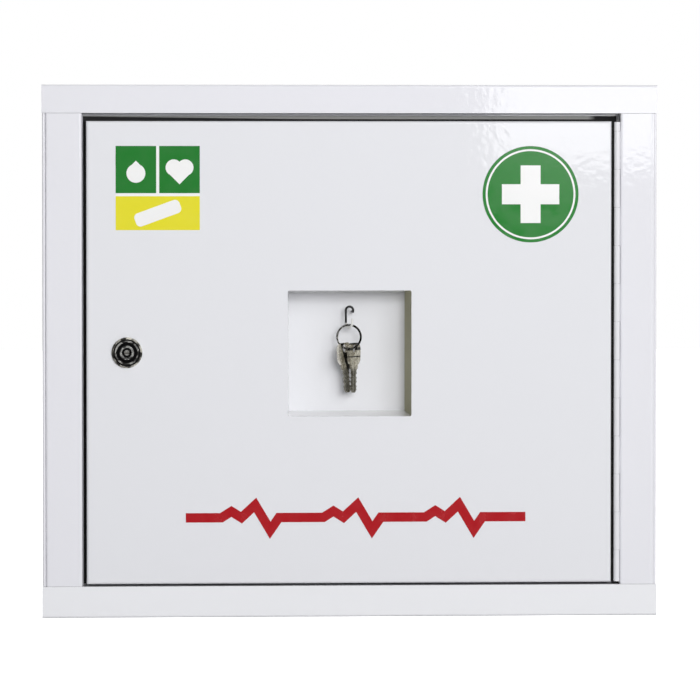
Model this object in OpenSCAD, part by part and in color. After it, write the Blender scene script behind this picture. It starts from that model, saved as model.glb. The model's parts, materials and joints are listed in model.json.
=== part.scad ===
// Lockable wall cabinet of folded sheet steel, with a key recess in its door.
// The frame stands on the floor plane, centred on X and Y, and the door faces -Y.

/* [Cabinet body] */
// Overall width of the cabinet
body_w = 492; // [440:1:600]
// Overall height of the cabinet
body_h = 425; // [380:1:560]
// Depth from the front of the frame to the wall
body_d = 200; // [150:1:300]
// Thickness of the steel sheet
sheet = 1; // [0.8:0.1:1.5]
// Inside radius of every fold
bend_in = 1; // [0.5:0.1:1.5]
// Height of the top panel's front flange
top_flange = 22.5; // [15:0.5:30]
// Height of the bottom panel's front flange
bottom_flange = 25; // [15:0.5:30]
// Width of the left stile
left_stile_w = 31.5; // [26:0.1:40]
// Width of the right stile
right_stile_w = 29.1; // [24:0.1:40]
// Depth of the frame from its front to the back of the stop lip
frame_return = 21; // [20:0.5:26]
// Width of the stop lip behind the door's edge
stop_lip = 10; // [8:0.5:13]
// Width of the flanges at the back of the body
rear_flange = 14; // [10:0.5:20]
// How far the side panels sit inside the ends of the top and bottom panels
side_inset = 0.5; // [0.2:0.1:2]
// How far the hem at a side panel's front edge reaches back
hem_l = 8; // [5:0.5:12]

/* [Wall fixing] */
// Distance between the wall holes across the width
wall_hole_x = 400; // [300:1:420]
// Distance between the wall holes up the height
wall_hole_z = 330; // [250:1:350]
// Diameter of each wall hole
wall_hole_d = 8.5; // [5:0.5:10]

/* [Door] */
// Gap between the door and the left stile
door_gap_left = 3.4; // [2:0.1:6]
// Gap above the door
door_gap_top = 6.4; // [2:0.1:8]
// Gap below the door
door_gap_bottom = 1.9; // [1:0.1:4]
// Gap between the door and the hinge knuckles
door_gap_hinge = 2.15; // [1.8:0.05:4]
// Depth of the door pan
door_d = 18; // [16:0.5:18]
// Width of the hem round the back of the door pan
door_hem = 8; // [5:0.5:12]
// Width of the cut-out for the keys
recess_w = 99; // [80:1:130]
// Height of the cut-out for the keys
recess_h = 100.6; // [90:0.2:130]
// How far the cut-out's middle lies below the door's
recess_drop = 0.8; // [0:0.1:10]
// Depth of the key recess
recess_d = 40; // [36:1:44]
// Corner radius of the cut-out
recess_r = 1.5; // [1:0.5:4]
// How far the tray's mouth stands outside the cut-out
tray_margin = 0.5; // [0.5:0.5:4]
// How far each of the tray's walls leans in from its mouth to its floor
tray_lean = 3.3; // [1:0.1:5]
// Width of the tray's rim behind the door sheet
tray_rim = 11; // [6:1:16]
// Gap between the seal and the stop lip's rounded fold, at the sides and below
seal_margin = 0.2; // [0.1:0.1:1]
// Gap between the seal and the stop lip's rounded fold above
seal_margin_top = 1; // [0.1:0.1:3]

/* [Hinge] */
// Outside diameter of the knuckles
knuckle_d = 4.8; // [4.4:0.1:6]
// Diameter of the hinge pin
pin_d = 2; // [1.6:0.1:2.4]
// Thickness of the hinge leaves
leaf_t = 0.8; // [0.6:0.1:1]
// How deep the leaves reach behind the pin
leaf_d = 16; // [12:0.5:16.5]
// How far behind the pin the door's leaf steps over to the door
leaf_step = 9; // [4:0.5:10]
// Length of one knuckle, seam to seam
knuckle_pitch = 30.5; // [25:0.5:40]
// Height of the first seam above the door's lower edge
first_seam = 25.8; // [10:0.1:30]
// How far the pin lies behind the front of the frame
pin_back = 0.8; // [0.4:0.1:1.2]

/* [Lock] */
// Distance of the lock from the door's left edge
lock_x = 32.2; // [28:0.1:36]
// Height of the lock above the door's lower edge
lock_z = 184.8; // [120:0.1:260]
// Diameter of the bezel
bezel_d = 24.5; // [23:0.5:28]
// How far the bezel stands in front of the door
bezel_h = 3; // [2:0.1:4]
// Diameter of the threaded barrel
barrel_d = 19; // [18:0.5:20]
// Width across the barrel's two flats
barrel_flats = 16; // [15:0.5:17]
// Diameter of the turning cylinder
cylinder_d = 12.4; // [11:0.1:13]
// Width across the flats of the nut
nut_w = 23; // [22:0.5:25]
// Thickness of the nut
nut_h = 3.5; // [2.5:0.5:5]
// Length of the cam from the lock's axis to its tip
cam_l = 33; // [31:0.5:36]
// Width of the cam
cam_w = 15; // [12:0.5:18]
// Thickness of the cam
cam_t = 2; // [1.5:0.5:2.5]
// Number of wafers in the cylinder
wafers = 5; // [3:1:6]

/* [Keys] */
// Length of a key
key_l = 40; // [36:1:44]
// Width of a key's bow
bow_w = 18.5; // [16:0.5:20]
// Thickness of a key
key_t = 2; // [1.6:0.1:2]
// Width of a key's blade
blade_w = 7; // [6:0.5:8]
// Diameter of the hole in the bow
key_hole_d = 6.8; // [6:0.1:7]
// Outside diameter of the split ring
ring_d = 20.7; // [20:0.1:24]
// Thickness of the ring, seen from its face
ring_wire = 1.6; // [1.2:0.1:1.8]
// Width of one turn of the ring
ring_turn = 0.9; // [0.7:0.1:1]
// Diameter of the hook's wire
hook_wire = 1.8; // [1.5:0.1:2.2]

/* [Shelves] */
// Height of the lower shelf above the floor plane
lower_shelf_z = 145; // [100:1:180]
// Height of the upper shelf above the floor plane
upper_shelf_z = 280; // [230:1:330]
// Depth of the shelves
shelf_d = 138; // [80:1:145]
// Height of the shelves' folded edges
shelf_edge = 15; // [10:1:25]
// Width and height of the shelf rails
rail_w = 12; // [10:1:18]

/* [Labels] */
// Thickness of the printed films
film = 0.3; // [0.2:0.1:0.5]
// Diameter of the round green sign
sign_d = 77; // [60:1:80]
// Side of the square contents label
label_w = 67; // [50:1:75]
// Length of the red stripe
stripe_l = 272; // [200:1:300]
// Height of the red stripe
stripe_h = 33; // [20:1:40]

/* [Hidden] */
$fn = 48;

// Colours of the finishes
white_paint = "#e6e6ea";
zinc = "#b9babb";
black = "#1c1c1e";
green = "#3f8a4c";
yellow = "#e2db32";
red = "#b22a30";

// Clearances
weld_gap = 0.1;
seam_gap = 0.2;
hem_gap = 0.3;
run_gap = 0.05;
slip_gap = 0.15;
loose_gap = 0.5;

// Places on the body. The front of the frame is at Y = front_y.
bend = sheet / 2 + bend_in;
bend_out = sheet + bend_in;
front_y = (bezel_h - body_d) / 2;
side_x = body_w / 2 - side_inset;
inner_x = side_x - sheet;
open_left = left_stile_w - side_x;
open_right = side_x - right_stile_w;
open_bottom = bottom_flange;
open_top = body_h - top_flange;
lip_y = frame_return - sheet;
rear_y = body_d - sheet;

// Places on the door
pin_x = open_right - knuckle_d / 2 - slip_gap;
pin_y = pin_back;
door_left = open_left + door_gap_left;
door_right = pin_x - knuckle_d / 2 - door_gap_hinge;
door_bottom = open_bottom + door_gap_bottom;
door_top = open_top - door_gap_top;
door_w = door_right - door_left;
door_h = door_top - door_bottom;
door_cx = (door_left + door_right) / 2;
door_cz = (door_bottom + door_top) / 2;
recess_cz = door_cz - recess_drop;
lock_cx = door_left + lock_x;
lock_cz = door_bottom + lock_z;
barrel_end = frame_return + loose_gap;

// Shared modules

// Everything below is drawn with Y = 0 at the front of the frame.
module from_front() {
    translate([0, front_y, 0])
        children();
}

// A strip of sheet folded at right angles, drawn along its middle line.
module folded_strip(path, t, r) {
    last = len(path) - 1;
    for (i = [0 : last - 1]) {
        run = path[i + 1] - path[i];
        along = run / norm(run);
        side = [-along[1], along[0]] * t / 2;
        start = path[i] + along * (i > 0 ? r : 0);
        end = path[i + 1] - along * (i < last - 1 ? r : 0);
        polygon([start - side, end - side, end + side, start + side]);
    }
    for (i = [1 : 1 : last - 1]) {
        before = path[i] - path[i - 1];
        after = path[i + 1] - path[i];
        a = before / norm(before);
        b = after / norm(after);
        far = 2 * (r + t);
        translate(path[i] - a * r + b * r)
            intersection() {
                difference() {
                    circle(r = r + t / 2);
                    circle(r = r - t / 2);
                }
                polygon([[0, 0], a * far, (a - b) * far, -b * far]);
            }
    }
}

// Stretches a YZ outline along X, from x0 to x1.
module along_x(x0, x1) {
    translate([x0, 0, 0])
        rotate([90, 0, 90])
            linear_extrude(height = x1 - x0)
                children();
}

// Stretches an XY outline along Z, from z0 to z1.
module along_z(z0, z1) {
    translate([0, 0, z0])
        linear_extrude(height = z1 - z0)
            children();
}

// Stretches an XZ outline along Y, from y0 to y1.
module along_y(y0, y1) {
    translate([0, y1, 0])
        rotate([90, 0, 0])
            linear_extrude(height = y1 - y0)
                children();
}

// A rectangle with round corners, centred.
module round_rect(w, h, r) {
    square([w - 2 * r, h], center = true);
    square([w, h - 2 * r], center = true);
    for (x = [-1, 1], z = [-1, 1])
        translate([x * (w / 2 - r), z * (h / 2 - r)])
            circle(r = r);
}

// A block whose four front edges are rounded, as a folded and welded pan has them.
module front_rounded_block(x0, x1, z0, z1, y0, y1, r) {
    intersection() {
        along_x(x0, x1)
            front_rounded_outline(z0, z1, y0, y1, r);
        along_z(z0, z1)
            mirror([1, -1, 0])
                front_rounded_outline(x0, x1, y0, y1, r);
    }
}

module front_rounded_outline(z0, z1, y0, y1, r) {
    translate([y0 + r, z0])
        square([y1 - y0 - r, z1 - z0]);
    translate([y0, z0 + r])
        square([r, z1 - z0 - 2 * r]);
    for (z = [z0 + r, z1 - r])
        translate([y0 + r, z])
            circle(r = r);
}

// Cabinet body

// Corners of a frame member's middle line, from its rear flange round to its stop lip:
// how far back each one lies, and how far out.
function frame_path(outer, opening) = let (
    inward = outer > opening ? -1 : 1,
    mid = inward * sheet / 2
) [
    [rear_y - sheet / 2, outer + inward * rear_flange],
    [rear_y - sheet / 2, outer + mid],
    [sheet / 2, outer + mid],
    [sheet / 2, opening - mid],
    [lip_y + sheet / 2, opening - mid],
    [lip_y + sheet / 2, opening + inward * stop_lip]
];

// The top or bottom panel: the flat sheet and front flange run the full width,
// and the return, stop lip and rear flange end between the side panels.
module cross_panel(outer, opening) {
    path = frame_path(outer, opening);
    rear_fold = [rear_y - bend_out, path[1][1]];
    flange_end = [path[3][0], opening];
    flange_x = inner_x - rear_flange - weld_gap;
    along_x(-body_w / 2, body_w / 2)
        folded_strip([rear_fold, path[2], flange_end], sheet, bend);
    along_x(-inner_x, inner_x)
        folded_strip([(path[2] + path[3]) / 2, path[3], path[4] - [bend, 0]], sheet, bend);
    along_x(open_left + stop_lip + weld_gap, open_right - stop_lip - weld_gap)
        folded_strip([path[4] - [2 * bend, 0], path[4], path[5]], sheet, bend);
    along_x(-flange_x, flange_x)
        folded_strip([path[0], path[1], rear_fold - [sheet, 0]], sheet, bend);
}

// A side panel: the flat side with its rear flange, and a hem along its front edge.
module upright_panel(outer, opening) {
    path = frame_path(outer, opening);
    inward = outer > opening ? -1 : 1;
    rear_fold = [rear_y - bend_out, path[1][1]];
    hem_x = path[2][1] + inward * (sheet + hem_gap);
    hem_fold = 0.6 * sheet;
    difference() {
        along_z(sheet, body_h - sheet)
            mirror([1, -1, 0])
                folded_strip([rear_fold, [sheet, path[2][1]]], sheet, bend);
        cross_panel(body_h, open_top);
        cross_panel(0, open_bottom);
    }
    along_z(open_bottom + seam_gap, open_top - seam_gap)
        mirror([1, -1, 0])
            folded_strip([rear_fold, path[2], [path[2][0], hem_x], [hem_l, hem_x]], sheet, hem_fold);
    along_z(bend_out, body_h - bend_out)
        mirror([1, -1, 0])
            folded_strip([path[0], path[1], rear_fold - [sheet, 0]], sheet, bend);
}

// A stile: a folded strip welded to the hem of its side, with the return and stop lip.
module stile(outer, opening) {
    path = frame_path(outer, opening);
    inward = outer > opening ? -1 : 1;
    stile_x = outer + inward * (2 * sheet + hem_gap + weld_gap + sheet / 2);
    along_z(open_bottom + seam_gap, open_top - seam_gap)
        mirror([1, -1, 0])
            folded_strip([
                [hem_l, stile_x], [path[2][0], stile_x], path[3], path[4], path[5]
            ], sheet, bend);
}

module top_panel() {
    color(white_paint)
        from_front()
            cross_panel(body_h, open_top);
}

module bottom_panel() {
    color(white_paint)
        from_front()
            cross_panel(0, open_bottom);
}

module left_side_panel() {
    color(white_paint)
        from_front()
            upright_panel(-side_x, open_left);
}

module right_side_panel() {
    color(white_paint)
        from_front()
            upright_panel(side_x, open_right);
}

module left_stile() {
    color(white_paint)
        from_front()
            stile(-side_x, open_left);
}

module right_stile() {
    color(white_paint)
        from_front()
            stile(side_x, open_right);
}

module back_panel() {
    back_x = side_x - bend_out;
    color(white_paint)
        from_front()
            difference() {
                translate([-back_x, rear_y, bend_out])
                    cube([2 * back_x, sheet, body_h - 2 * bend_out]);
                for (x = [-1, 1], z = [-1, 1])
                    translate([x * wall_hole_x / 2, body_d + sheet, body_h / 2 + z * wall_hole_z / 2])
                        rotate([90, 0, 0])
                            cylinder(d = wall_hole_d, h = 3 * sheet);
            }
}

// Shelves

shelf_y1 = rear_y - sheet - loose_gap;
shelf_y0 = shelf_y1 - shelf_d;

// A shelf: one sheet with its front and rear edges folded down.
module shelf(z) {
    top = z - sheet / 2;
    front = shelf_y0 + sheet / 2;
    back = shelf_y1 - sheet / 2;
    edge = z - shelf_edge;
    shelf_x = inner_x - loose_gap;
    color(white_paint)
        from_front()
            along_x(-shelf_x, shelf_x)
                folded_strip([[front, edge], [front, top], [back, top], [back, edge]], sheet, bend);
}

module lower_shelf() {
    shelf(lower_shelf_z);
}

module upper_shelf() {
    shelf(upper_shelf_z);
}

// Four L-shaped rails welded to the sides. The shelves lie on them.
module shelf_rails() {
    color(white_paint)
        from_front()
            for (z = [lower_shelf_z, upper_shelf_z], side = [-1, 1])
                translate([0, shelf_y1 - bend_out - loose_gap, z - sheet])
                    rotate([90, 0, 0])
                        linear_extrude(height = shelf_d - 2 * bend_out - 2 * loose_gap)
                            scale([side, 1])
                                folded_strip([
                                    [inner_x - rail_w, -sheet / 2],
                                    [inner_x - sheet / 2, -sheet / 2],
                                    [inner_x - sheet / 2, -rail_w]
                                ], sheet, bend);
}

// The door seal: a strip of black foam rubber round the front of the stop lip.
module door_seal() {
    seal_y = door_d + slip_gap;
    side = bend_in + seal_margin;
    above = bend_in + seal_margin_top;
    inner = stop_lip - loose_gap;
    open_w = open_right - open_left;
    open_h = open_top - open_bottom;
    color(black)
        from_front()
            along_y(seal_y, lip_y)
                difference() {
                    translate([open_left + side, open_bottom + side])
                        square([open_w - 2 * side, open_h - side - above]);
                    translate([open_left + inner, open_bottom + inner])
                        square([open_w - 2 * inner, open_h - 2 * inner]);
                }
}

// Hinge

hinge_bottom = door_bottom + loose_gap;
hinge_top = door_top - loose_gap;
knuckle_seams = [for (z = door_bottom + first_seam; z < hinge_top - sheet; z = z + knuckle_pitch) z];
knuckle_ends = concat([hinge_bottom], knuckle_seams, [hinge_top]);

// The rolled knuckles whose number is odd or even, cut free of the other leaf's.
module knuckles(first) {
    for (i = [first : 2 : len(knuckle_ends) - 2])
        translate([pin_x, pin_y, knuckle_ends[i] + slip_gap / 2])
            cylinder(d = knuckle_d, h = knuckle_ends[i + 1] - knuckle_ends[i] - slip_gap);
}

module pin_hole() {
    translate([pin_x, pin_y, 0])
        cylinder(d = pin_d + 2 * run_gap, h = body_h);
}

// One strip from a knuckle's tangent to its leaf, as tall as the knuckle.
module knuckle_webs(first, outline_x, reach) {
    for (i = [first : 2 : len(knuckle_ends) - 2])
        translate([outline_x, pin_y, knuckle_ends[i] + slip_gap / 2])
            cube([leaf_t, reach, knuckle_ends[i + 1] - knuckle_ends[i] - slip_gap]);
}

module hinge_frame_leaf() {
    web = knuckle_d / 2 + loose_gap;
    leaf_x = open_right - leaf_t;
    color(white_paint)
        from_front()
            difference() {
                union() {
                    knuckles(1);
                    knuckle_webs(1, leaf_x, web + sheet);
                    translate([leaf_x, pin_y + web, hinge_bottom])
                        cube([leaf_t, leaf_d - web, hinge_top - hinge_bottom]);
                }
                pin_hole();
            }
}

// The door's leaf steps over from the knuckles to the edge of the door pan.
module hinge_door_leaf() {
    web = knuckle_d / 2 + loose_gap;
    leaf_x = pin_x - knuckle_d / 2;
    step_y = pin_y + leaf_step;
    step_r = leaf_t;
    color(white_paint)
        from_front()
            difference() {
                union() {
                    knuckles(0);
                    knuckle_webs(0, leaf_x, web);
                    along_z(hinge_bottom, hinge_top)
                        folded_strip([
                            [leaf_x + leaf_t / 2, pin_y + web - sheet / 2],
                            [leaf_x + leaf_t / 2, step_y],
                            [door_right + leaf_t / 2, step_y],
                            [door_right + leaf_t / 2, pin_y + leaf_d]
                        ], leaf_t, step_r);
                }
                pin_hole();
            }
}

module hinge_pin() {
    color(zinc)
        from_front()
            translate([pin_x, pin_y, hinge_bottom])
                cylinder(d = pin_d, h = hinge_top - hinge_bottom);
}

// Door

// Where the lock's barrel passes through: a round hole with two flats.
module double_flat(d, flats) {
    intersection() {
        circle(d = d);
        square([d, flats], center = true);
    }
}

module door_panel() {
    color(white_paint)
        from_front()
            difference() {
                front_rounded_block(door_left, door_right, door_bottom, door_top, 0, door_d, bend_out);
                front_rounded_block(
                    door_left + sheet, door_right - sheet, door_bottom + sheet, door_top - sheet,
                    sheet, door_d - sheet, bend_in
                );
                translate([door_left + door_hem, door_d - 2 * sheet, door_bottom + door_hem])
                    cube([door_w - 2 * door_hem, 3 * sheet, door_h - 2 * door_hem]);
                along_y(-sheet, 2 * sheet)
                    translate([door_cx, recess_cz])
                        round_rect(recess_w, recess_h, recess_r);
                along_y(-sheet, 2 * sheet)
                    translate([lock_cx, lock_cz])
                        double_flat(barrel_d + 2 * slip_gap, barrel_flats + 2 * slip_gap);
            }
}

// Key recess

tray_w = recess_w + 2 * tray_margin;
tray_h = recess_h + 2 * tray_margin;
tray_slope = tray_lean / recess_d;

// The hollow of the tray, or with a wall's thickness added its outside: a block whose
// four sides lean in with the depth.
module tray_block(wall, y0, y1) {
    half_w = tray_w / 2 + wall;
    half_h = tray_h / 2 + wall;
    translate([door_cx, 0, recess_cz])
        intersection() {
            along_x(-half_w, half_w)
                tray_profile(half_h, y0, y1);
            along_z(-half_h, half_h)
                mirror([1, -1, 0])
                    tray_profile(half_w, y0, y1);
        }
}

module tray_profile(half, y0, y1) {
    near = half - y0 * tray_slope;
    far = half - y1 * tray_slope;
    polygon([[y0, -near], [y0, near], [y1, far], [y1, -far]]);
}

// The tray: four leaning walls and a floor, with a rim welded to the door's sheet.
module key_recess_tray() {
    rim = 2 * (sheet + tray_rim);
    color(white_paint)
        from_front()
            difference() {
                union() {
                    tray_block(sheet, sheet, recess_d + sheet);
                    along_y(sheet, 2 * sheet)
                        translate([door_cx, recess_cz])
                            round_rect(tray_w + rim, tray_h + rim, tray_rim);
                }
                tray_block(0, 0, recess_d);
                translate([stub_x, recess_d - sheet, stub_z])
                    rotate([-90, 0, 0])
                        cylinder(d = hook_wire + slip_gap, h = 3 * sheet);
            }
}

// The hook is one bent wire: a stub through the tray, an arch, a straight leg and a
// U that carries the ring.
hook_arch_r = 2.9;
hook_elbow_r = 1.3;
hook_leg = 9.5;
hook_u_r = 4.4;
hook_tip = 2;
hook_turn = 32;
hook_reach = 14.4;
hook_x = door_cx - 1.55;
hook_y = recess_d - hook_reach;
hook_z = recess_cz + 33.9;
stub_x = hook_x + 2 * hook_arch_r;
stub_y = hook_y + hook_elbow_r;
stub_z = hook_z - hook_elbow_r;
stub_end = recess_d + 5;
hook_u_z = hook_z - hook_leg;

// Part of a wire ring of mean radius r in the XY plane, from the X axis round.
module wire_arc(r, turn) {
    rotate_extrude(angle = turn)
        translate([r, 0])
            circle(d = hook_wire);
}

module key_hook() {
    color(black)
        from_front() {
            translate([stub_x, stub_y, stub_z])
                rotate([-90, 0, 0])
                    cylinder(d = hook_wire, h = stub_end - stub_y);
            translate([stub_x, stub_y, hook_z])
                rotate([90, 0, 90])
                    rotate([0, 0, 180])
                        wire_arc(hook_elbow_r, 90);
            translate([hook_x + hook_arch_r, hook_y, hook_z])
                rotate([90, 0, 0])
                    wire_arc(hook_arch_r, 180);
            translate([hook_x, hook_y, hook_u_z])
                cylinder(d = hook_wire, h = hook_leg);
            translate([hook_x, hook_y, hook_u_z])
                rotate([0, 0, hook_turn - 90]) {
                    translate([hook_u_r, 0, 0])
                        rotate([-90, 0, 0])
                            wire_arc(hook_u_r, 180);
                    translate([2 * hook_u_r, 0, 0]) {
                        cylinder(d = hook_wire, h = hook_tip);
                        translate([0, 0, hook_tip])
                            sphere(d = hook_wire);
                    }
                }
        }
}

// A push-on nut that holds the hook behind the tray.
module hook_nut() {
    nut_d = 4 * hook_wire;
    nut_t = 1.5 * sheet;
    color(zinc)
        from_front()
            translate([stub_x, recess_d + sheet, stub_z])
                rotate([-90, 0, 0])
                    difference() {
                        cylinder(d = nut_d, h = nut_t);
                        translate([0, 0, -sheet])
                            cylinder(d = hook_wire + run_gap, h = nut_t + 2 * sheet);
                    }
}

// Lock

lock_rim = 0.9;
plug_collar_d = cylinder_d + 1.2;
plug_collar_h = 1.2;
plug_face = 0.8;
well_d = 18;
well_h = 1.6;
bezel_edge = 1.6;
keyway_w = blade_w + 2 * slip_gap;
keyway_t = key_t + 2 * slip_gap;
drive_w = 7;
screw_d = 5;
screw_head_d = 9.5;
screw_head_h = 2.6;
screw_l = 8;
wafer_w = keyway_w + 2 * lock_rim;
wafer_h = keyway_t + 4 * lock_rim;
wafer_t = 1;
wafer_pitch = 2.6;

// Draws along the lock's axis: local Z runs from the door's front into the cabinet.
module on_lock_axis() {
    translate([lock_cx, front_y, lock_cz])
        rotate([-90, 0, 0])
            children();
}

// The zinc housing: a bevelled bezel with a dark well, and a barrel with two flats.
module lock_housing() {
    color("silver")
        on_lock_axis()
            difference() {
                union() {
                    rotate_extrude()
                        polygon([
                            [0, 0], [bezel_d / 2, 0], [bezel_d / 2, -bezel_h + bezel_edge],
                            [bezel_d / 2 - bezel_edge, -bezel_h], [0, -bezel_h]
                        ]);
                    linear_extrude(height = barrel_end)
                        double_flat(barrel_d, barrel_flats);
                }
                translate([0, 0, -bezel_h - sheet])
                    cylinder(d = well_d, h = well_h + sheet);
                translate([0, 0, -bezel_h])
                    cylinder(d = cylinder_d + 2 * run_gap, h = bezel_h + barrel_end + sheet);
                translate([0, 0, -bezel_h])
                    cylinder(d = plug_collar_d + 2 * run_gap, h = well_h + plug_collar_h);
            }
}

module lock_washer() {
    color(zinc)
        on_lock_axis()
            translate([0, 0, sheet])
                difference() {
                    cylinder(d = nut_w + sheet, h = sheet);
                    translate([0, 0, -sheet])
                        cylinder(d = barrel_d + 2 * slip_gap, h = 3 * sheet);
                }
}

module lock_nut() {
    color(zinc)
        on_lock_axis()
            translate([0, 0, 2 * sheet])
                difference() {
                    cylinder(d = nut_w / cos(30), h = nut_h, $fn = 6);
                    translate([0, 0, -sheet])
                        cylinder(d = barrel_d + 2 * run_gap, h = nut_h + 2 * sheet);
                }
}

// The turning cylinder, with its raised rim, keyway, wafer slots and square end.
module lock_cylinder() {
    collar_z = -bezel_h + well_h;
    slot = [wafer_w, wafer_h, wafer_t] + 2 * run_gap * [1, 1, 1];
    color("silver")
        on_lock_axis()
            difference() {
                union() {
                    translate([0, 0, collar_z - plug_face])
                        cylinder(d = plug_collar_d, h = plug_face + plug_collar_h - run_gap);
                    translate([0, 0, collar_z])
                        cylinder(d = cylinder_d, h = barrel_end - collar_z);
                    translate([-drive_w / 2, -drive_w / 2, barrel_end - sheet])
                        cube([drive_w, drive_w, sheet + run_gap + cam_t]);
                }
                translate([0, 0, collar_z - plug_face - sheet])
                    cylinder(d = plug_collar_d - 2 * lock_rim, h = sheet + plug_face / 2);
                translate([-keyway_w / 2, -keyway_t / 2, -bezel_h])
                    cube([keyway_w, keyway_t, bezel_h + barrel_end - screw_l]);
                for (i = [0 : wafers - 1])
                    translate([0, 0, wafer_z(i)])
                        cube(slot, center = true);
                translate([0, 0, barrel_end + cam_t - screw_l])
                    cylinder(d = screw_d, h = screw_l + sheet);
            }
}

function wafer_z(i) = wafer_pitch / 2 + i * wafer_pitch;

// Flat wafers, each with a window that the key's blade passes through.
module lock_wafers() {
    color("goldenrod")
        on_lock_axis()
            for (i = [0 : wafers - 1])
                translate([0, 0, wafer_z(i)])
                    difference() {
                        cube([wafer_w, wafer_h, wafer_t], center = true);
                        cube([keyway_w, keyway_t, 3 * wafer_t], center = true);
                    }
}

// The cam hangs down while the lock is open and swings behind the stile to lock.
module lock_cam() {
    tip_r = 3;
    tip_h = 3 * tip_r;
    color(zinc)
        on_lock_axis()
            translate([0, 0, barrel_end + run_gap])
                difference() {
                    linear_extrude(height = cam_t)
                        union() {
                            circle(d = cam_w);
                            translate([-cam_w / 2, 0])
                                square([cam_w, cam_l - tip_h / 2]);
                            translate([0, cam_l - tip_h / 2])
                                round_rect(cam_w, tip_h, tip_r);
                        }
                    translate([0, 0, cam_t / 2])
                        cube([drive_w + 2 * run_gap, drive_w + 2 * run_gap, 3 * cam_t], center = true);
                }
}

module cam_screw() {
    slot_w = 1.2;
    slot_h = 1;
    head_z = barrel_end + cam_t + 2 * run_gap;
    color(zinc)
        on_lock_axis()
            difference() {
                union() {
                    translate([0, 0, head_z - screw_l + 2 * run_gap])
                        cylinder(d = screw_d - 2 * run_gap, h = screw_l);
                    translate([0, 0, head_z])
                        cylinder(d = screw_head_d, h = screw_head_h);
                }
                translate([-screw_head_d, -slot_w / 2, head_z + screw_head_h - slot_h])
                    cube([2 * screw_head_d, slot_w, screw_head_h]);
            }
}

// Keys

ring_turned = -10;
ring_r = ring_d / 2 - ring_wire / 2;
hang_x = hook_x + hook_u_r * sin(hook_turn);
hang_y = hook_y - hook_u_r * cos(hook_turn);
hang_z = hook_u_z - hook_u_r;
ring_z = hang_z + hook_wire / 2 + 3 * slip_gap - ring_d / 2 + ring_wire;

module key_ring() {
    corner = 0.25;
    color(zinc)
        translate([hang_x, front_y + hang_y, ring_z])
            rotate([0, 0, ring_turned])
                rotate([90, 0, 0])
                    rotate_extrude()
                        for (side = [-1, 1])
                            translate([ring_r, side * (ring_turn - corner / 2) / 2])
                                round_rect(ring_wire, ring_turn, corner);
}

// Where each key hangs on the ring, and how far it is turned from the front and leans.
key_spread = 25;
left_key_turn = 52;
right_key_turn = 58;
left_key_lean = 4.5;
right_key_lean = -1;
key_drop = 0.6;

bow_h = 18;
bow_r = 6;
bow_top = 4.5;
neck_w = 10;
neck_h = 3;
rib_w = 9;
rib_h = 1.2;
rib_depth = 0.35;
rib_pitch = 4.2;
rib_from_hole = 6.4;
groove_w = 1.6;
groove_depth = 0.5;
cut_pitch = 3.4;
cut_r = 1.5;
cut_depths = [0.5, 1.1, 0.7, 1.3, 0.6];

// The bow, with its hole at the origin.
module key_bow() {
    difference() {
        translate([0, bow_top - bow_h / 2])
            round_rect(bow_w, bow_h, bow_r);
        circle(d = key_hole_d);
    }
}

// The neck and blade, cut along both edges.
module key_blade() {
    neck = bow_top - bow_h - neck_h;
    tip = bow_top - key_l;
    difference() {
        polygon([
            [-neck_w / 2, neck + neck_h + bow_r], [neck_w / 2, neck + neck_h + bow_r],
            [neck_w / 2, neck], [blade_w / 2, neck],
            [blade_w / 2, tip + blade_w / 3], [blade_w / 6, tip],
            [-blade_w / 6, tip], [-blade_w / 2, tip + blade_w / 3],
            [-blade_w / 2, neck], [-neck_w / 2, neck]
        ]);
        for (i = [0 : len(cut_depths) - 1], side = [-1, 1])
            translate([side * (blade_w / 2 + cut_r - cut_depths[i]), tip + blade_w / 2 + i * cut_pitch])
                circle(r = cut_r);
    }
}

// A key stamped from flat stock, with ribs across its neck and a groove down its blade.
module key_blank() {
    groove_top = bow_top - bow_h - neck_h / 2;
    difference() {
        rotate([90, 0, 0]) {
            linear_extrude(height = key_t, center = true)
                key_bow();
            linear_extrude(height = key_t, center = true)
                key_blade();
        }
        for (face = [-1, 1]) {
            translate([0, face * key_t / 2, groove_top - key_l / 2])
                cube([groove_w, 2 * groove_depth, key_l], center = true);
            for (i = [0 : 1])
                translate([0, face * key_t / 2, -rib_from_hole - i * rib_pitch])
                    cube([rib_w, 2 * rib_depth, rib_h], center = true);
        }
    }
}

// Hangs a key on the ring, so many degrees round from its lowest point.
module hung_key(round_ring, turn, lean) {
    along = ring_r * sin(round_ring);
    color("tan")
        translate([
            hang_x + along * cos(ring_turned),
            front_y + hang_y + along * sin(ring_turned),
            ring_z - ring_r * cos(round_ring) - key_drop
        ])
            rotate([0, -lean, 0])
                rotate([0, 0, turn])
                    key_blank();
}

module left_key() {
    hung_key(-key_spread, left_key_turn, left_key_lean);
}

module right_key() {
    hung_key(key_spread, right_key_turn, right_key_lean);
}

// Labels

sign_cx = door_right - 65.1;
sign_from_top = 58.3;
label_cx = door_left + 56.9;
label_from_top = 53.3;
stripe_cx = door_cx + 5;
stripe_from_bottom = 52.8;
base = film / 2;
mark_inset = 0.95;

// Draws an XZ outline as a film on the door's front.
module on_door(x, z, y0, y1) {
    translate([x, front_y, z])
        along_y(y0, y1)
            children();
}

// A bar cross, centred.
module bar_cross(w, bar) {
    square([w, bar], center = true);
    square([bar, w], center = true);
}

// The green disc with a narrow ring and a cross printed on it.
module round_sign() {
    edge = 2.5;
    ring_w = 1.5;
    cross_w = 46;
    cross_bar = 16;
    color(green)
        on_door(sign_cx, door_top - sign_from_top, -base, 0)
            circle(d = sign_d);
    color("white")
        on_door(sign_cx, door_top - sign_from_top, -film, -base) {
            difference() {
                circle(d = sign_d - 2 * edge);
                circle(d = sign_d - 2 * (edge + ring_w));
            }
            bar_cross(cross_w, cross_bar);
        }
}

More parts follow.
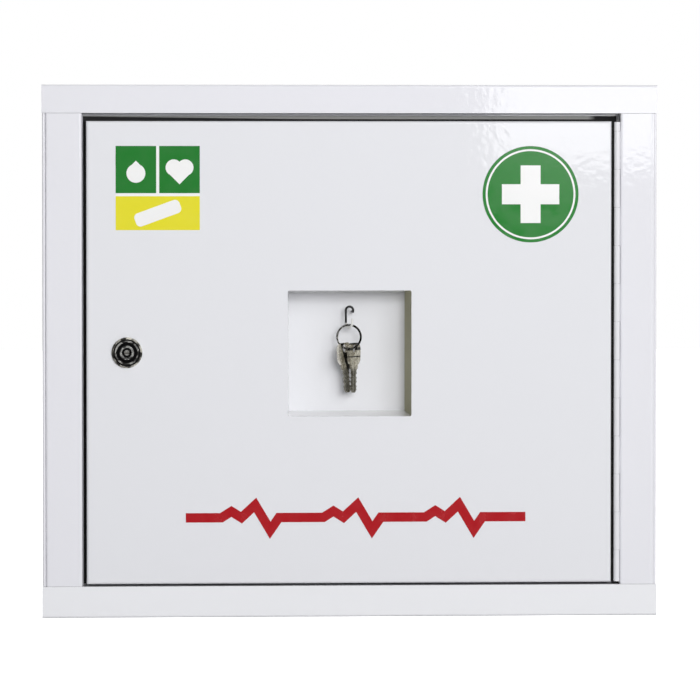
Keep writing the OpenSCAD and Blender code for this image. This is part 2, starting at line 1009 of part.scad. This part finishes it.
// A drop: a round foot drawn up to a point.
module drop_mark(r) {
    circle(r = r);
    rotate(45)
        square(mark_inset * r);
}

// A heart: two round lobes on a square set on its corner.
module heart_mark(side) {
    rotate(45) {
        square(mark_inset * side, center = true);
        translate([side / 2, 0])
            circle(d = side);
        translate([0, side / 2])
            circle(d = side);
    }
}

// A sticking plaster lying slantwise.
module plaster_mark(l, w) {
    slant = 20;
    rotate(slant)
        round_rect(l, w, w / 3);
}

// The contents label: two green fields over one wide yellow field.
module contents_label() {
    gap = 2.4;
    half = (label_w - gap) / 2;
    low_h = 27;
    high_h = label_w - low_h - gap;
    top_z = label_w / 2 - high_h / 2;
    low_z = -label_w / 2 + low_h / 2;
    mark_drop = 3;
    drop_r = 7.5;
    heart_side = 13;
    plaster_l = 38;
    plaster_w = 11;
    color("white")
        on_door(label_cx, door_top - label_from_top, -base / 2, 0)
            square(label_w, center = true);
    color(green)
        on_door(label_cx, door_top - label_from_top, -base, -base / 2)
            for (side = [-1, 1])
                translate([side * (half + gap) / 2, top_z])
                    square([half, high_h], center = true);
    color(yellow)
        on_door(label_cx, door_top - label_from_top, -base, -base / 2)
            translate([0, low_z])
                square([label_w, low_h], center = true);
    color("white")
        on_door(label_cx, door_top - label_from_top, -film, -base) {
            translate([-(half + gap) / 2, top_z - mark_drop])
                drop_mark(drop_r);
            translate([(half + gap) / 2, top_z - mark_drop])
                heart_mark(heart_side);
            translate([0, low_z])
                plaster_mark(plaster_l, plaster_w);
        }
}

// A line of even width through the points, with mitred corners.
function side_of(points, i) = let (run = points[i + 1] - points[i]) [-run[1], run[0]] / norm(run);

function mitre(points, i) = let (
    last = len(points) - 1,
    a = side_of(points, max(i - 1, 0)),
    b = side_of(points, min(i, last - 1))
) (a + b) / (1 + a * b);

module pen_line(points, w) {
    order = [for (i = [0 : len(points) - 1]) i];
    back = [for (i = order) points[len(points) - 1 - i] - mitre(points, len(points) - 1 - i) * w / 2];
    polygon(concat([for (i = order) points[i] + mitre(points, i) * w / 2], back));
}

// The red stripe is a pulse line: three beats on a long level.
module red_stripe() {
    pen = 7.5;
    end = stripe_l / 2;
    peak = stripe_h / 2 - 0.85 * pen;
    beat = [[-26, 0], [-18, peak / 2], [-10, 0], [1, peak], [13, -peak], [20, 0]];
    beat_pitch = 0.3 * stripe_l;
    points = concat(
        [[-end, 0]], [for (i = [-1 : 1], p = beat) p + [i * beat_pitch, 0]], [[end, 0]]
    );
    color(red)
        on_door(stripe_cx, door_bottom + stripe_from_bottom, -base, 0)
            pen_line(points, pen);
}

back_panel();
top_panel();
bottom_panel();
left_side_panel();
right_side_panel();
left_stile();
right_stile();
shelf_rails();
lower_shelf();
upper_shelf();
door_seal();
hinge_frame_leaf();
hinge_pin();
hinge_door_leaf();
door_panel();
key_recess_tray();
key_hook();
hook_nut();
round_sign();
contents_label();
red_stripe();
lock_housing();
lock_washer();
lock_nut();
lock_cylinder();
lock_wafers();
lock_cam();
cam_screw();
key_ring();
left_key();
right_key();
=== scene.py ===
import json
import math

import bmesh
import bpy
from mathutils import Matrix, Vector


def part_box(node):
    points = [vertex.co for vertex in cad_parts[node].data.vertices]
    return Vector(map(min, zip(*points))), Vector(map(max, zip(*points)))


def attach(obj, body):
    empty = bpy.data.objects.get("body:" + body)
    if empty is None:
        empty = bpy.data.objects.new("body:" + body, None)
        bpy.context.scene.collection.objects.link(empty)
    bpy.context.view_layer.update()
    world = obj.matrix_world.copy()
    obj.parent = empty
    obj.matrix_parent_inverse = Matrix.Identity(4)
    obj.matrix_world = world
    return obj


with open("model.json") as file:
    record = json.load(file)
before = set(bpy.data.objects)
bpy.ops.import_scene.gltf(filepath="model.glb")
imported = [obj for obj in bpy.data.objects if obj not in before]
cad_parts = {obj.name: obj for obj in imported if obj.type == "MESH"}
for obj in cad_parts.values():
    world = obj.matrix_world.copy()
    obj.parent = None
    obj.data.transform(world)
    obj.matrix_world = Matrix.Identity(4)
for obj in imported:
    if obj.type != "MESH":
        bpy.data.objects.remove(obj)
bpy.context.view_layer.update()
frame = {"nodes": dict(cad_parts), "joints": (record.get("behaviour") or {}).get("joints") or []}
nodes = frame["nodes"]

# The camera stands four metres off, a little to the left of the cabinet and a little
# above its middle, with a long lens, as for a catalogue picture.
aim = Vector((-0.0004, -0.0985, 0.2135))
camera_turn = math.radians(-3.4)
camera_rise = math.radians(2.0)
camera_away = 4.0
towards_camera = Vector((
    math.sin(camera_turn) * math.cos(camera_rise),
    -math.cos(camera_turn) * math.cos(camera_rise),
    math.sin(camera_rise),
))
camera = bpy.data.objects.new("camera", bpy.data.cameras.new("camera"))
bpy.context.scene.collection.objects.link(camera)
camera.location = aim + towards_camera * camera_away
camera.rotation_euler = (-towards_camera).to_track_quat("-Z", "Y").to_euler()
camera.data.lens = 257.6
camera.data.sensor_width = 36.0
camera.data.clip_end = 50.0
bpy.context.scene.camera = camera
bpy.context.scene.view_settings.view_transform = "Standard"


# The studio: a white room, darker in its left front corner and brighter high at the
# back, with a softbox at the right in front that the coat mirrors, and a plain lamp above
# the camera that it doesn't mirror. The camera itself sees the room plain white.
def node(tree, kind, **inputs):
    made = tree.nodes.new(kind)
    for name, value in inputs.items():
        made.inputs[name.replace("_", " ")].default_value = value
    return made


# Each term is a number or the output of another node.
def reckon(tree, operation, *terms):
    made = tree.nodes.new("ShaderNodeMath")
    made.operation = operation
    for slot, term in zip(made.inputs, terms):
        if isinstance(term, float):
            slot.default_value = term
        else:
            tree.links.new(term, slot)
    return made.outputs[0]


def reckon_vector(tree, operation, vector, other=(0.0, 0.0, 0.0)):
    made = tree.nodes.new("ShaderNodeVectorMath")
    made.operation = operation
    made.inputs[1].default_value = other
    tree.links.new(vector, made.inputs[0])
    return made.outputs["Value" if operation in ("DOT_PRODUCT", "LENGTH") else "Vector"]


# A value that runs from start to end becomes one that runs from low to high.
def spread(tree, value, low=0.0, high=1.0, start=0.35, end=0.65):
    made = node(tree, "ShaderNodeMapRange", From_Min=start, From_Max=end, To_Min=low, To_Max=high)
    tree.links.new(value, made.inputs["Value"])
    return made.outputs["Result"]


world = bpy.data.worlds.new("white_room")
bpy.context.scene.world = world
world.use_nodes = True
sky = world.node_tree
sky.nodes.clear()
heading = node(sky, "ShaderNodeTexCoord").outputs["Generated"]
left_front = (-0.894, -0.447, 0.0)
high_back = (0.0, 0.8, 0.6)
darker = reckon_vector(sky, "DOT_PRODUCT", heading, left_front)
darker = spread(sky, darker, low=0.42, high=0.06, start=-0.2, end=0.7)
brighter = reckon_vector(sky, "DOT_PRODUCT", heading, high_back)
brighter = spread(sky, brighter, low=0.0, high=0.5, start=0.3, end=0.9)
lit = node(sky, "ShaderNodeBackground", Color=(1.0, 1.0, 1.0, 1.0))
sky.links.new(reckon(sky, "ADD", darker, brighter), lit.inputs["Strength"])
white = node(sky, "ShaderNodeBackground", Color=(1.0, 1.0, 1.0, 1.0), Strength=1.0)
which = node(sky, "ShaderNodeMixShader")
sky.links.new(node(sky, "ShaderNodeLightPath").outputs["Is Camera Ray"], which.inputs[0])
sky.links.new(lit.outputs[0], which.inputs[1])
sky.links.new(white.outputs[0], which.inputs[2])
sky.links.new(which.outputs[0], node(sky, "ShaderNodeOutputWorld").inputs["Surface"])

for name, side, energy, mirrored, x, y, z in (
    ("softbox", 1.6, 31.5, True, 1.10, -3.1, 1.135),
    ("fill_light", 1.1, 83.0, False, 0.4, -4.1, 0.95),
):
    lamp = bpy.data.objects.new(name, bpy.data.lights.new(name, "AREA"))
    bpy.context.scene.collection.objects.link(lamp)
    lamp.data.shape = "SQUARE"
    lamp.data.size = side
    lamp.data.energy = energy
    lamp.visible_glossy = mirrored
    lamp.location = (x, y, z)
    lamp.rotation_euler = (aim - lamp.location).to_track_quat("-Z", "Y").to_euler()


# The floor: a wide sheet of matt white paper, level with the cabinet's base. The camera
# sees it as bright as the room, so neither its edge nor a shadow shows.
def finish(name, color, roughness, metallic=0.0):
    made = bpy.data.materials.new(name)
    made.use_nodes = True
    shader = made.node_tree.nodes["Principled BSDF"]
    shader.inputs["Base Color"].default_value = (*color, 1.0)
    shader.inputs["Roughness"].default_value = roughness
    shader.inputs["Metallic"].default_value = metallic
    return made, made.node_tree, shader


floor_side = 12.0
shape = bmesh.new()
bmesh.ops.create_grid(shape, x_segments=1, y_segments=1, size=floor_side / 2)
floor_mesh = bpy.data.meshes.new("floor")
shape.to_mesh(floor_mesh)
shape.free()
floor = bpy.data.objects.new("floor", floor_mesh)
bpy.context.scene.collection.objects.link(floor)
floor.visible_glossy = False
floor_paper, tree, shader = finish("floor_white", (0.6, 0.6, 0.6), roughness=0.9)
shader.inputs["Specular IOR Level"].default_value = 0.1
shader.inputs["Emission Color"].default_value = (1.0, 1.0, 1.0, 1.0)
seen = node(tree, "ShaderNodeLightPath").outputs["Is Camera Ray"]
tree.links.new(seen, shader.inputs["Emission Strength"])
floor_mesh.materials.append(floor_paper)


# The body: folded sheet steel, spot welded and then powder coated white. The coat has a
# fine orange peel and is a trace greyer and glossier in places. The bottom panel is painted
# a little lighter, as painted light.
def place(tree, output="Object"):
    for made in tree.nodes:
        if made.type == "TEX_COORD":
            return made.outputs[output]
    return tree.nodes.new("ShaderNodeTexCoord").outputs[output]


def grain(tree, scale, detail=2.0, stretch=(1.0, 1.0, 1.0)):
    made = node(tree, "ShaderNodeTexNoise", Scale=scale, Detail=detail)
    stretched = node(tree, "ShaderNodeMapping", Scale=stretch)
    tree.links.new(place(tree), stretched.inputs["Vector"])
    tree.links.new(stretched.outputs["Vector"], made.inputs["Vector"])
    return made.outputs["Fac"]


# The value blends from the first to the second, each a colour or the output of a node.
def tint(tree, value, first, second):
    made = node(tree, "ShaderNodeMix")
    made.data_type = "RGBA"
    tree.links.new(value, made.inputs["Factor"])
    for slot, color in (("A", first), ("B", second)):
        if isinstance(color, tuple):
            made.inputs[slot].default_value = (*color, 1.0)
        else:
            tree.links.new(color, made.inputs[slot])
    return made.outputs["Result"]


def paint(tree, shader, color):
    tree.links.new(color, shader.inputs["Base Color"])


def roughen(tree, shader, pattern, low, high, start=0.35, end=0.65):
    tree.links.new(spread(tree, pattern, low, high, start, end), shader.inputs["Roughness"])


def bump(tree, shader, height, distance):
    made = node(tree, "ShaderNodeBump", Strength=1.0, Distance=distance)
    normal = shader.inputs["Normal"]
    tree.links.new(height, made.inputs["Height"])
    if normal.is_linked:
        tree.links.new(normal.links[0].from_socket, made.inputs["Normal"])
    tree.links.new(made.outputs["Normal"], normal)


def dress(made, *names):
    for name in names:
        data = nodes[name].data
        data.materials.clear()
        data.materials.append(made)


def powder_coat(name, color, greyer):
    peel_height = 0.00004
    grit_height = 0.0000015
    made, tree, shader = finish(name, color, roughness=0.05)
    clouds = spread(tree, grain(tree, scale=3.0), start=0.2, end=0.8)
    paint(tree, shader, tint(tree, clouds, color, greyer))
    roughen(tree, shader, grain(tree, scale=18.0), low=0.03, high=0.06, start=0.2, end=0.8)
    bump(tree, shader, grain(tree, scale=200.0, detail=1.0), peel_height)
    bump(tree, shader, grain(tree, scale=900.0, detail=0.0), grit_height)
    return made, tree, shader


body_coat, *_ = powder_coat("white_powder_body", (0.765, 0.765, 0.81), (0.755, 0.755, 0.795))
dress(
    body_coat,
    "top_panel", "left_side_panel", "right_side_panel", "back_panel", "left_stile", "right_stile",
)
# The bottom panel: the body's coat painted a little lighter, as painted light.
bottom_painted_light_coat, *_ = powder_coat("white_powder_base_painted_light", (0.81, 0.815, 0.845), (0.80, 0.805, 0.83))
dress(bottom_painted_light_coat, "bottom_panel")

# The shelves and the angle rails that carry them: the same sheet steel, in a coat that
# is a shade greyer. The rails are welded to the sides and the shelves lie on them.
shelf_coat, *_ = powder_coat("white_powder_shelf", (0.755, 0.755, 0.79), (0.73, 0.73, 0.76))
dress(shelf_coat, "lower_shelf", "upper_shelf", "shelf_rails")

# The seam filler: a bead of body filler, smoothed flush into the seam between the right
# stile and the side before the coat goes on, over the stile's whole height.
seam_inset = 0.0016
seam_w = 0.0026
seam_sunk = 0.0003
seam_deep = 0.0012
stile_low, stile_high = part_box("right_stile")
shape = bmesh.new()
bmesh.ops.create_cube(shape, size=1.0)
for corner in shape.verts:
    corner.co.x = stile_high[0] - seam_inset + (corner.co.x + 0.5) * seam_w
    corner.co.y = stile_low[1] + seam_sunk + (corner.co.y + 0.5) * seam_deep
    corner.co.z = stile_low[2] if corner.co.z < 0.0 else stile_high[2]
seam_mesh = bpy.data.meshes.new("seam_filler")
shape.to_mesh(seam_mesh)
shape.free()
seam = bpy.data.objects.new("seam_filler", seam_mesh)
bpy.context.scene.collection.objects.link(seam)
seam_mesh.materials.append(body_coat)
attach(seam, "cabinet")

# The door seal: a strip of black foam rubber, stuck round the front of the stop lip. Its
# black is also painted shade for the gap round the door. The upper edge of its top run is
# painted grey, as painted light in the gap above the door; the grey starts a little higher
# towards the left and ends short of the hinge.
black_foam_and_gap_shade = (0.018, 0.018, 0.019)
gap_painted_light = (0.36, 0.36, 0.35)
painted_light_z = 0.3976
painted_light_edge = 0.0006
painted_light_slope = 0.012
painted_light_slope_x = -0.04
painted_light_end_x = 0.198
painted_light_end_slope = 0.1


# How far a point or a normal reaches from the origin in one direction.
def along(tree, point, direction, origin=(0.0, 0.0, 0.0)):
    from_origin = reckon_vector(tree, "SUBTRACT", point, origin)
    return reckon_vector(tree, "DOT_PRODUCT", from_origin, direction)


foam, tree, shader = finish("seal_foam", black_foam_and_gap_shade, roughness=0.85)
painted_light_mask = None
for direction, origin in (
    ((0.0, 0.0, 1.0), (0.0, 0.0, painted_light_z)),
    ((painted_light_slope, 0.0, 1.0), (painted_light_slope_x, 0.0, painted_light_z)),
    ((-painted_light_end_slope, 0.0, 0.0), (painted_light_end_x, 0.0, 0.0)),
):
    within = along(tree, place(tree), direction, origin)
    within = spread(tree, within, start=0.0, end=painted_light_edge)
    painted_light_mask = within if painted_light_mask is None else reckon(tree, "MULTIPLY", painted_light_mask, within)
# Painted light grey on the upper edge of the top run; elsewhere the foam is black.
paint(tree, shader, tint(tree, painted_light_mask, black_foam_and_gap_shade, gap_painted_light))
bump(tree, shader, grain(tree, scale=1200.0, detail=3.0), distance=0.00012)
dress(foam, "door_seal")

# The piano hinge: two rolled leaves on a bright steel pin. The knuckles take the white
# coat; behind the front the leaves are painted near black, as painted shade in the gap
# between door and stile.
hinge_white = (0.75, 0.75, 0.78)
leaf_painted_shade = (0.035, 0.035, 0.034)
painted_shade_edge = -0.0957


# 1 below the edge on one axis, and 0 above it.
def layer(tree, axis, edge):
    split = tree.nodes.new("ShaderNodeSeparateXYZ")
    tree.links.new(place(tree), split.inputs[0])
    return reckon(tree, "LESS_THAN", split.outputs[axis], edge)


def painted(shader):
    return shader.inputs["Base Color"].links[0].from_socket


hinge_coat, tree, shader = powder_coat("white_powder_hinge", hinge_white, hinge_white)
# Behind the front the leaves are painted dark, as painted shade in the gap.
paint(tree, shader, tint(tree, layer(tree, "Y", painted_shade_edge), leaf_painted_shade, painted(shader)))
dress(hinge_coat, "hinge_frame_leaf", "hinge_door_leaf")
drawn = (1.0, 1.0, 0.05)
pin_steel, tree, shader = finish("pin_steel", (0.56, 0.56, 0.57), roughness=0.32, metallic=1.0)
roughen(tree, shader, grain(tree, scale=300.0, stretch=drawn), low=0.25, high=0.42)
dress(pin_steel, "hinge_pin")

# The door: a pan of sheet steel with a square cut-out, folded, welded at the corners and
# powder coated on both sides. It hangs on the hinge's door leaf.
door_coat, *_ = powder_coat("white_powder_door", (0.75, 0.755, 0.79), (0.74, 0.745, 0.775))
dress(door_coat, "door_panel")


# The key tray: folded sheet behind the door's cut-out, in the same coat. Its right wall
# is painted dark olive and without specular reflection, and its upper wall a little grey,
# both as painted shade. Its lower wall is painted lighter, as painted light.
def inner_wall(tree, towards_middle, middle):
    faces = along(tree, place(tree, "Normal"), towards_middle)
    faces = spread(tree, faces, start=0.6, end=0.8)
    beyond = along(tree, place(tree), towards_middle, middle)
    beyond = spread(tree, beyond, low=1.0, high=0.0, start=-0.001, end=0.0)
    return reckon(tree, "MULTIPLY", faces, beyond)


right_wall_painted_shade = (0.48, 0.465, 0.34)
upper_wall_painted_shade = (0.70, 0.70, 0.69)
lower_wall_painted_light = (0.88, 0.88, 0.89)
glossy_specular = 0.5
matt_specular = 0.0
tray_low, tray_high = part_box("key_recess_tray")
tray_middle = (tray_low + tray_high) / 2
tray_coat, tree, shader = powder_coat("white_powder_tray", (0.755, 0.76, 0.79), (0.745, 0.75, 0.775))
right_wall_shade_mask = inner_wall(tree, (-1.0, 0.0, 0.0), tray_middle)
upper_wall_shade_mask = inner_wall(tree, (0.0, 0.0, -1.0), tray_middle)
lower_wall_light_mask = inner_wall(tree, (0.0, 0.0, 1.0), tray_middle)
# Painted shade on the right and upper walls, painted light on the lower wall.
tray_with_painted_light = tint(tree, right_wall_shade_mask, painted(shader), right_wall_painted_shade)
tray_with_painted_light = tint(tree, upper_wall_shade_mask, tray_with_painted_light, upper_wall_painted_shade)
tray_with_painted_light = tint(tree, lower_wall_light_mask, tray_with_painted_light, lower_wall_painted_light)
paint(tree, shader, tray_with_painted_light)
specular = spread(tree, right_wall_shade_mask, glossy_specular, matt_specular, start=0.0, end=1.0)
tree.links.new(specular, shader.inputs["Specular IOR Level"])
dress(tray_coat, "key_recess_tray")


# The labels: printed films with a white base, stuck to the door. Each ink lies on its own
# layer, so its height in front of the door tells which ink it is. The inks of the round
# sign and of the red stripe are a trace mottled.
def film(name, roughness):
    glossier, rougher = 0.05, 0.08
    made, tree, shader = finish(name, ink_white, roughness)
    roughen(tree, shader, grain(tree, scale=90.0), roughness - glossier, roughness + rougher)
    bump(tree, shader, grain(tree, scale=260.0, detail=1.0), distance=0.000008)
    return made, tree, shader


def mottled(tree, ink, scale, lift):
    return tint(tree, grain(tree, scale, detail=4.0), ink, tuple(part * lift for part in ink))


door_front = -0.0985
first_ink = door_front - 0.0001
top_ink = door_front - 0.00022
ink_white = (0.84, 0.84, 0.84)
ink_green = (0.016, 0.185, 0.026)
ink_yellow = (0.74, 0.68, 0.03)
ink_red = (0.37, 0.005, 0.010)

sign_film, tree, shader = film("green_sign_film", roughness=0.14)
sign_green = mottled(tree, ink_green, scale=240.0, lift=1.12)
paint(tree, shader, tint(tree, layer(tree, "Y", top_ink), sign_green, ink_white))
dress(sign_film, "round_sign")

label_film, tree, shader = film("contents_label_film", roughness=0.14)
label_low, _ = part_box("contents_label")
yellow_field_h = 0.0282
yellow_top = label_low[2] + yellow_field_h
fields = tint(tree, layer(tree, "Z", yellow_top), ink_green, ink_yellow)
printed = tint(tree, layer(tree, "Y", first_ink), ink_white, fields)
paint(tree, shader, tint(tree, layer(tree, "Y", top_ink), printed, ink_white))
dress(label_film, "contents_label")

red_film, tree, shader = film("red_stripe_film", roughness=0.2)
paint(tree, shader, mottled(tree, ink_red, scale=200.0, lift=1.15))
dress(red_film, "red_stripe")


# The lock: a die-cast housing and cylinder, chromed. Rings round the lock's axis are
# painted dark and bright as painted reflections, and dark spots painted over them break
# them into arcs, also painted reflection. Its washer, nut, cam and screw are zinc plated
# steel, and its wafers are brass.
def joint_place(name):
    return Vector(next(joint["pos_m"] for joint in frame["joints"] if joint["name"] == name))


chrome_bright = (0.95, 0.95, 0.92)
chrome_mid = (0.95, 0.94, 0.90)
chrome_rim = (0.92, 0.89, 0.79)
painted_dark_reflection = (0.012, 0.012, 0.013)
rings_reach = 0.013
chrome, tree, shader = finish("lock_chrome", chrome_bright, roughness=0.16, metallic=0.88)
from_axis = reckon_vector(tree, "SUBTRACT", place(tree), joint_place("lock_turn"))
across_axis = reckon_vector(tree, "MULTIPLY", from_axis, (1.0, 0.0, 1.0))
radius = reckon_vector(tree, "LENGTH", across_axis)
rings = tree.nodes.new("ShaderNodeValToRGB")
rings.color_ramp.interpolation = "CONSTANT"
# Rings painted dark and bright round the axis, as painted reflections.
for ring_start, color in (
    (0.0021, painted_dark_reflection), (0.0040, chrome_bright), (0.0056, painted_dark_reflection), (0.0083, chrome_mid),
    (0.0096, painted_dark_reflection), (0.0108, chrome_rim),
):
    stop = rings.color_ramp.elements.new(ring_start / rings_reach)
    stop.color = (*color, 1.0)
rings.color_ramp.elements[0].color = (*chrome_mid, 1.0)
tree.links.new(spread(tree, radius, start=0.0, end=rings_reach), rings.inputs[0])
# Dark spots painted over the rings break them into arcs, as painted reflection.
painted_ring_breaks = grain(tree, scale=230.0, detail=1.0)
painted_ring_breaks = spread(tree, painted_ring_breaks, low=0.0, high=0.92, start=0.44, end=0.60)
paint(tree, shader, tint(tree, painted_ring_breaks, rings.outputs["Color"], painted_dark_reflection))
roughen(tree, shader, grain(tree, scale=500.0), low=0.12, high=0.24)
bump(tree, shader, grain(tree, scale=700.0), distance=0.000004)
dress(chrome, "lock_housing", "lock_cylinder")

zinc_bright = (0.63, 0.64, 0.64)
zinc_dull = (0.50, 0.50, 0.47)
zinc, tree, shader = finish("zinc_plate", (0.60, 0.61, 0.60), roughness=0.34, metallic=1.0)
paint(tree, shader, tint(tree, grain(tree, scale=220.0, detail=4.0), zinc_bright, zinc_dull))
roughen(tree, shader, grain(tree, scale=340.0, detail=3.0), low=0.26, high=0.46)
dress(zinc, "lock_washer", "lock_nut", "lock_cam", "cam_screw", "hook_nut")

wafer_brass, tree, shader = finish("wafer_brass", (0.62, 0.44, 0.17), roughness=0.3, metallic=1.0)
bump(tree, shader, grain(tree, scale=800.0), distance=0.00001)
dress(wafer_brass, "lock_wafers")

# The hook: black spring wire, bent to an arch above and a U below that holds the ring.
# In front of a plane just behind the ring the wire is painted light grey, as painted light.
# Its nut, behind the tray, is zinc plated, as the lock's is.
wire_black = (0.008, 0.008, 0.009)
wire_painted_light = (0.72, 0.72, 0.70)
painted_light_reach = 0.0028
ring_rest = joint_place("ring_swing")
hook_wire, tree, shader = finish("hook_wire_black", wire_black, roughness=0.38)
roughen(tree, shader, grain(tree, scale=600.0), low=0.3, high=0.5)
# The wire's front is painted light grey, as painted light.
lit_front_mask = layer(tree, "Y", ring_rest.y + painted_light_reach)
paint(tree, shader, tint(tree, lit_front_mask, wire_black, wire_painted_light))
dress(hook_wire, "key_hook")

# The split ring: two turns of hard steel wire, painted lighter at its left side and darker
# towards its right side, as painted light and shade.
ring_left_painted_light = (0.75, 0.74, 0.70)
ring_right_painted_shade = (0.10, 0.10, 0.095)
ring_steel, tree, shader = finish("ring_steel", (0.32, 0.31, 0.29), roughness=0.2, metallic=1.0)
roughen(tree, shader, grain(tree, scale=500.0), low=0.16, high=0.32)
across_ring = along(tree, place(tree), (1.0, 0.0, 0.0), ring_rest)
across_ring = spread(tree, across_ring, start=-0.006, end=0.004)
# Painted lighter at the left, darker towards the right: painted light and shade.
paint(tree, shader, tint(tree, across_ring, ring_left_painted_light, ring_right_painted_shade))
dress(ring_steel, "key_ring")

# The keys: stamped brass blanks under nickel plate, which is worn dull in patches. The
# blades are grey with the lock's graphite. Dark bands are painted shade: a painted shadow
# of the right key across the left key, and bands across the right key's bow. The left
# key's outer edge has a painted highlight.
key_shine = (0.70, 0.67, 0.56)
key_dull = (0.38, 0.345, 0.26)
key_painted_highlight = (0.95, 0.91, 0.80)
key_graphite = (0.12, 0.12, 0.10)
key_painted_shade = (0.03, 0.028, 0.022)
bow_rise = 0.0039
blade_start = 0.019
blade_end = 0.023
highlight_way = (-0.614, -0.788, -0.048)
highlight_start = 0.0055
highlight_end = 0.0075
for name, shade_way, shade_bands in (
    ("left_key", (0.614, 0.788, 0.368), ((-0.0062, -0.0014),)),
    ("right_key", (0.0, 0.0, -1.0), ((-0.0001, 0.0013), (0.0036, 0.0060), (0.0106, 0.0114))),
):
    nickel, tree, shader = finish(name + "_nickel", key_shine, roughness=0.2, metallic=0.7)
    bow_top = joint_place(name + "_swing") + Vector((0.0, 0.0, bow_rise))
    patches = spread(tree, grain(tree, scale=240.0, detail=3.0))
    wear_and_painted_light = tint(tree, patches, key_shine, key_dull)
    blade = along(tree, place(tree), (0.0, 0.0, -1.0), bow_top)
    blade = spread(tree, blade, low=0.0, high=0.75, start=blade_start, end=blade_end)
    wear_and_painted_light = tint(tree, blade, wear_and_painted_light, key_graphite)
    # The left key's outer edge takes a painted highlight.
    if name == "left_key":
        highlight_band = along(tree, place(tree), highlight_way, bow_top)
        highlight_band = spread(tree, highlight_band, start=highlight_start, end=highlight_end)
        wear_and_painted_light = tint(tree, highlight_band, wear_and_painted_light, key_painted_highlight)
    # Bands of painted shade: a painted shadow on the left key, shade across the right key's bow.
    across_bands = along(tree, place(tree), shade_way, bow_top)
    for start, end in shade_bands:
        painted_shade_band = reckon(tree, "COMPARE", across_bands, (start + end) / 2, (end - start) / 2)
        wear_and_painted_light = tint(tree, painted_shade_band, wear_and_painted_light, key_painted_shade)
    paint(tree, shader, wear_and_painted_light)
    roughen(tree, shader, grain(tree, scale=420.0, detail=3.0), low=0.12, high=0.3)
    bump(tree, shader, grain(tree, scale=900.0), distance=0.00001)
    dress(nickel, name)
